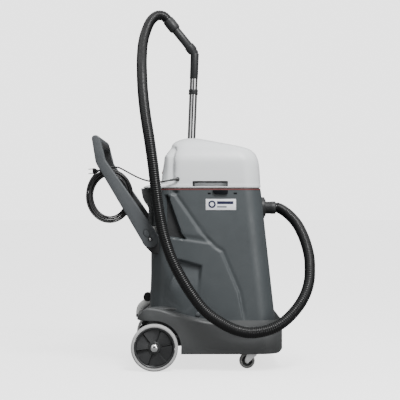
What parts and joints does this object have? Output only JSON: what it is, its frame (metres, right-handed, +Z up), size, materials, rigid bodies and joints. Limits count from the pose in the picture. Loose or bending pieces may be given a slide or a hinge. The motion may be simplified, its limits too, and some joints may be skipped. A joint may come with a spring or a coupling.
{
  "type": "wet and dry vacuum cleaner",
  "caption": "Upright industrial wet-and-dry vacuum cleaner: domed motor head on a dark tank, wheeled chassis, push handle with coiled lead, ribbed suction hose and parked chrome wand.",
  "frame": {"origin": "on the floor, midway between the handle's rearmost point and the chassis's front, and midway between the rear wheels", "axes": "+X to the front (hose inlet), +Z up, -Y to the left, the side with the label"},
  "size_m": [0.9847, 0.6073, 1.6148],
  "materials": {
    "head_plastic": "satin moulded",
    "tank_plastic": "fine moulded texture",
    "chassis_plastic": "fine moulded texture",
    "handle_plastic": "fine moulded texture",
    "rim_plastic": "moulded",
    "black_plastic": "moulded",
    "gasket_rubber": "matt",
    "tyre_rubber": "matt grey",
    "castor_rubber": "matt dark grey",
    "drain_rubber": "matt grey",
    "zinc": "bright zinc",
    "motor_casing": "moulded",
    "chrome": "polished",
    "red_plastic": "gloss",
    "hose_plastic": "ribbed, satin",
    "cord_rubber": "satin",
    "label": "printed film",
    "float_plastic": "moulded"
  },
  "bodies": {
    "root": {"tank": "tank_plastic", "chassis": "chassis_plastic", "rim_gasket": "gasket_rubber", "rear_grip": "chassis_plastic", "inlet_flange": "black_plastic", "drain_hose": "drain_rubber", "drain_outlet": "black_plastic", "drain_clip": "black_plastic", "label_plate": "label", "rear_axle": "chrome", "handle_bracket_left": "tank_plastic", "handle_bracket_right": "tank_plastic", "pivot_screw_left": "chrome", "pivot_screw_right": "chrome", "wand_cup": "black_plastic", "wand_clip": "black_plastic", "suction_hose": "hose_plastic", "mains_lead_rear": "cord_rubber", "mains_lead_front": "cord_rubber"},
    "hose_cuff": {"inlet_cuff": "black_plastic"},
    "drain_plug": {"drain_plug": "drain_rubber"},
    "head": {"head_cover": "head_plastic", "head_base": "black_plastic", "motor_rear": "motor_casing", "motor_front": "motor_casing", "float_cage": "black_plastic", "cord_gland": "cord_rubber", "switch_panel": "black_plastic"},
    "fan_rear": {"motor_fan_rear": "motor_casing"},
    "fan_front": {"motor_fan_front": "motor_casing"},
    "float": {"float": "float_plastic"},
    "handle": {"handle_frame": "handle_plastic", "cord_hook": "black_plastic", "mains_coil": "cord_rubber", "mains_plug": "cord_rubber"},
    "wand": {"wand_lower": "chrome", "wand_upper": "chrome", "wand_collar": "black_plastic", "bend_spigot": "chrome", "bend_grip": "black_plastic", "wand_cuff": "black_plastic"},
    "regulator": {"suction_regulator": "black_plastic"},
    "wheel_left": {"wheel_tyre_left": "tyre_rubber", "wheel_rim_left": "rim_plastic", "hub_cap_left": "chrome"},
    "castor_left": {"castor_fork_left": "zinc"},
    "castor_wheel_left": {"castor_tyre_left": "castor_rubber", "castor_core_left": "rim_plastic"},
    "latch_left": {"latch_left": "black_plastic"},
    "rocker_left": {"rocker_left": "red_plastic"},
    "lock_left": {"lock_button_left": "handle_plastic"},
    "wheel_right": {"wheel_tyre_right": "tyre_rubber", "wheel_rim_right": "rim_plastic", "hub_cap_right": "chrome"},
    "castor_right": {"castor_fork_right": "zinc"},
    "castor_wheel_right": {"castor_tyre_right": "castor_rubber", "castor_core_right": "rim_plastic"},
    "latch_right": {"latch_right": "black_plastic"},
    "rocker_right": {"rocker_right": "black_plastic"},
    "lock_right": {"lock_button_right": "handle_plastic"}
  },
  "joints": [
    {"name": "wheel_left_spin", "type": "hinge", "parent": "root", "child": "wheel_left", "pos_m": [-0.142, -0.249, 0.1], "axis": [0, 1, 0], "continuous": true},
    {"name": "castor_left_swivel", "type": "hinge", "parent": "root", "child": "castor_left", "pos_m": [0.287, -0.18, 0.09], "axis": [0, 0, 1], "continuous": true},
    {"name": "castor_left_roll", "type": "hinge", "parent": "castor_left", "child": "castor_wheel_left", "pos_m": [0.254, -0.18, 0.0335], "axis": [0, 1, 0], "continuous": true},
    {"name": "latch_left_open", "type": "hinge", "parent": "root", "child": "latch_left", "pos_m": [0.138, -0.2195, 0.7515], "axis": [1, 0, 0], "range_deg": [0, 60]},
    {"name": "rocker_left_tilt", "type": "hinge", "parent": "head", "child": "rocker_left", "pos_m": [-0.1115, -0.028, 0.8561], "axis": [0, -1, 0], "range_deg": [0, 14]},
    {"name": "lock_left_press", "type": "slide", "parent": "handle", "child": "lock_left", "axis": [0, 1, 0], "range_m": [0, 0.004], "stiffness_N_per_m": 600},
    {"name": "wheel_right_spin", "type": "hinge", "parent": "root", "child": "wheel_right", "pos_m": [-0.142, 0.249, 0.1], "axis": [0, 1, 0], "continuous": true},
    {"name": "castor_right_swivel", "type": "hinge", "parent": "root", "child": "castor_right", "pos_m": [0.287, 0.18, 0.09], "axis": [0, 0, 1], "continuous": true},
    {"name": "castor_right_roll", "type": "hinge", "parent": "castor_right", "child": "castor_wheel_right", "pos_m": [0.254, 0.18, 0.0335], "axis": [0, 1, 0], "continuous": true},
    {"name": "latch_right_open", "type": "hinge", "parent": "root", "child": "latch_right", "pos_m": [0.138, 0.2195, 0.7515], "axis": [-1, 0, 0], "range_deg": [0, 60]},
    {"name": "rocker_right_tilt", "type": "hinge", "parent": "head", "child": "rocker_right", "pos_m": [-0.1115, 0.028, 0.8561], "axis": [0, -1, 0], "range_deg": [0, 14]},
    {"name": "lock_right_press", "type": "slide", "parent": "handle", "child": "lock_right", "axis": [0, -1, 0], "range_m": [0, 0.004], "stiffness_N_per_m": 600},
    {"name": "handle_fold", "type": "hinge", "parent": "root", "child": "handle", "pos_m": [-0.16, 0, 0.558], "axis": [0, -1, 0], "range_deg": [0, 45], "deforming": ["mains_lead_rear"]},
    {"name": "head_lift", "type": "slide", "parent": "root", "child": "head", "axis": [0, 0, 1], "range_m": [0, 0.25], "deforming": ["mains_lead_front"]},
    {"name": "fan_rear_spin", "type": "hinge", "parent": "head", "child": "fan_rear", "pos_m": [0.03, 0, 0.8], "axis": [0, 0, 1], "continuous": true},
    {"name": "fan_front_spin", "type": "hinge", "parent": "head", "child": "fan_front", "pos_m": [0.19, 0, 0.8], "axis": [0, 0, 1], "continuous": true},
    {"name": "float_rise", "type": "slide", "parent": "head", "child": "float", "axis": [0, 0, 1], "range_m": [0, 0.05]},
    {"name": "wand_lift", "type": "slide", "parent": "root", "child": "wand", "axis": [0.0384, 0, 0.9993], "range_m": [0, 0.2], "deforming": ["suction_hose"]},
    {"name": "regulator_turn", "type": "hinge", "parent": "wand", "child": "regulator", "pos_m": [0.0061, 0.245, 1.4527], "axis": [0.6285, 0, -0.7778], "range_deg": [0, 120]},
    {"name": "hose_cuff_turn", "type": "hinge", "parent": "root", "child": "hose_cuff", "pos_m": [0.36, 0, 0.69], "axis": [1, 0, 0], "continuous": true},
    {"name": "drain_cap_turn", "type": "hinge", "parent": "root", "child": "drain_plug", "pos_m": [-0.147, 0, 0.59], "axis": [0, 0, 1], "range_deg": [0, 90]}
  ]
}
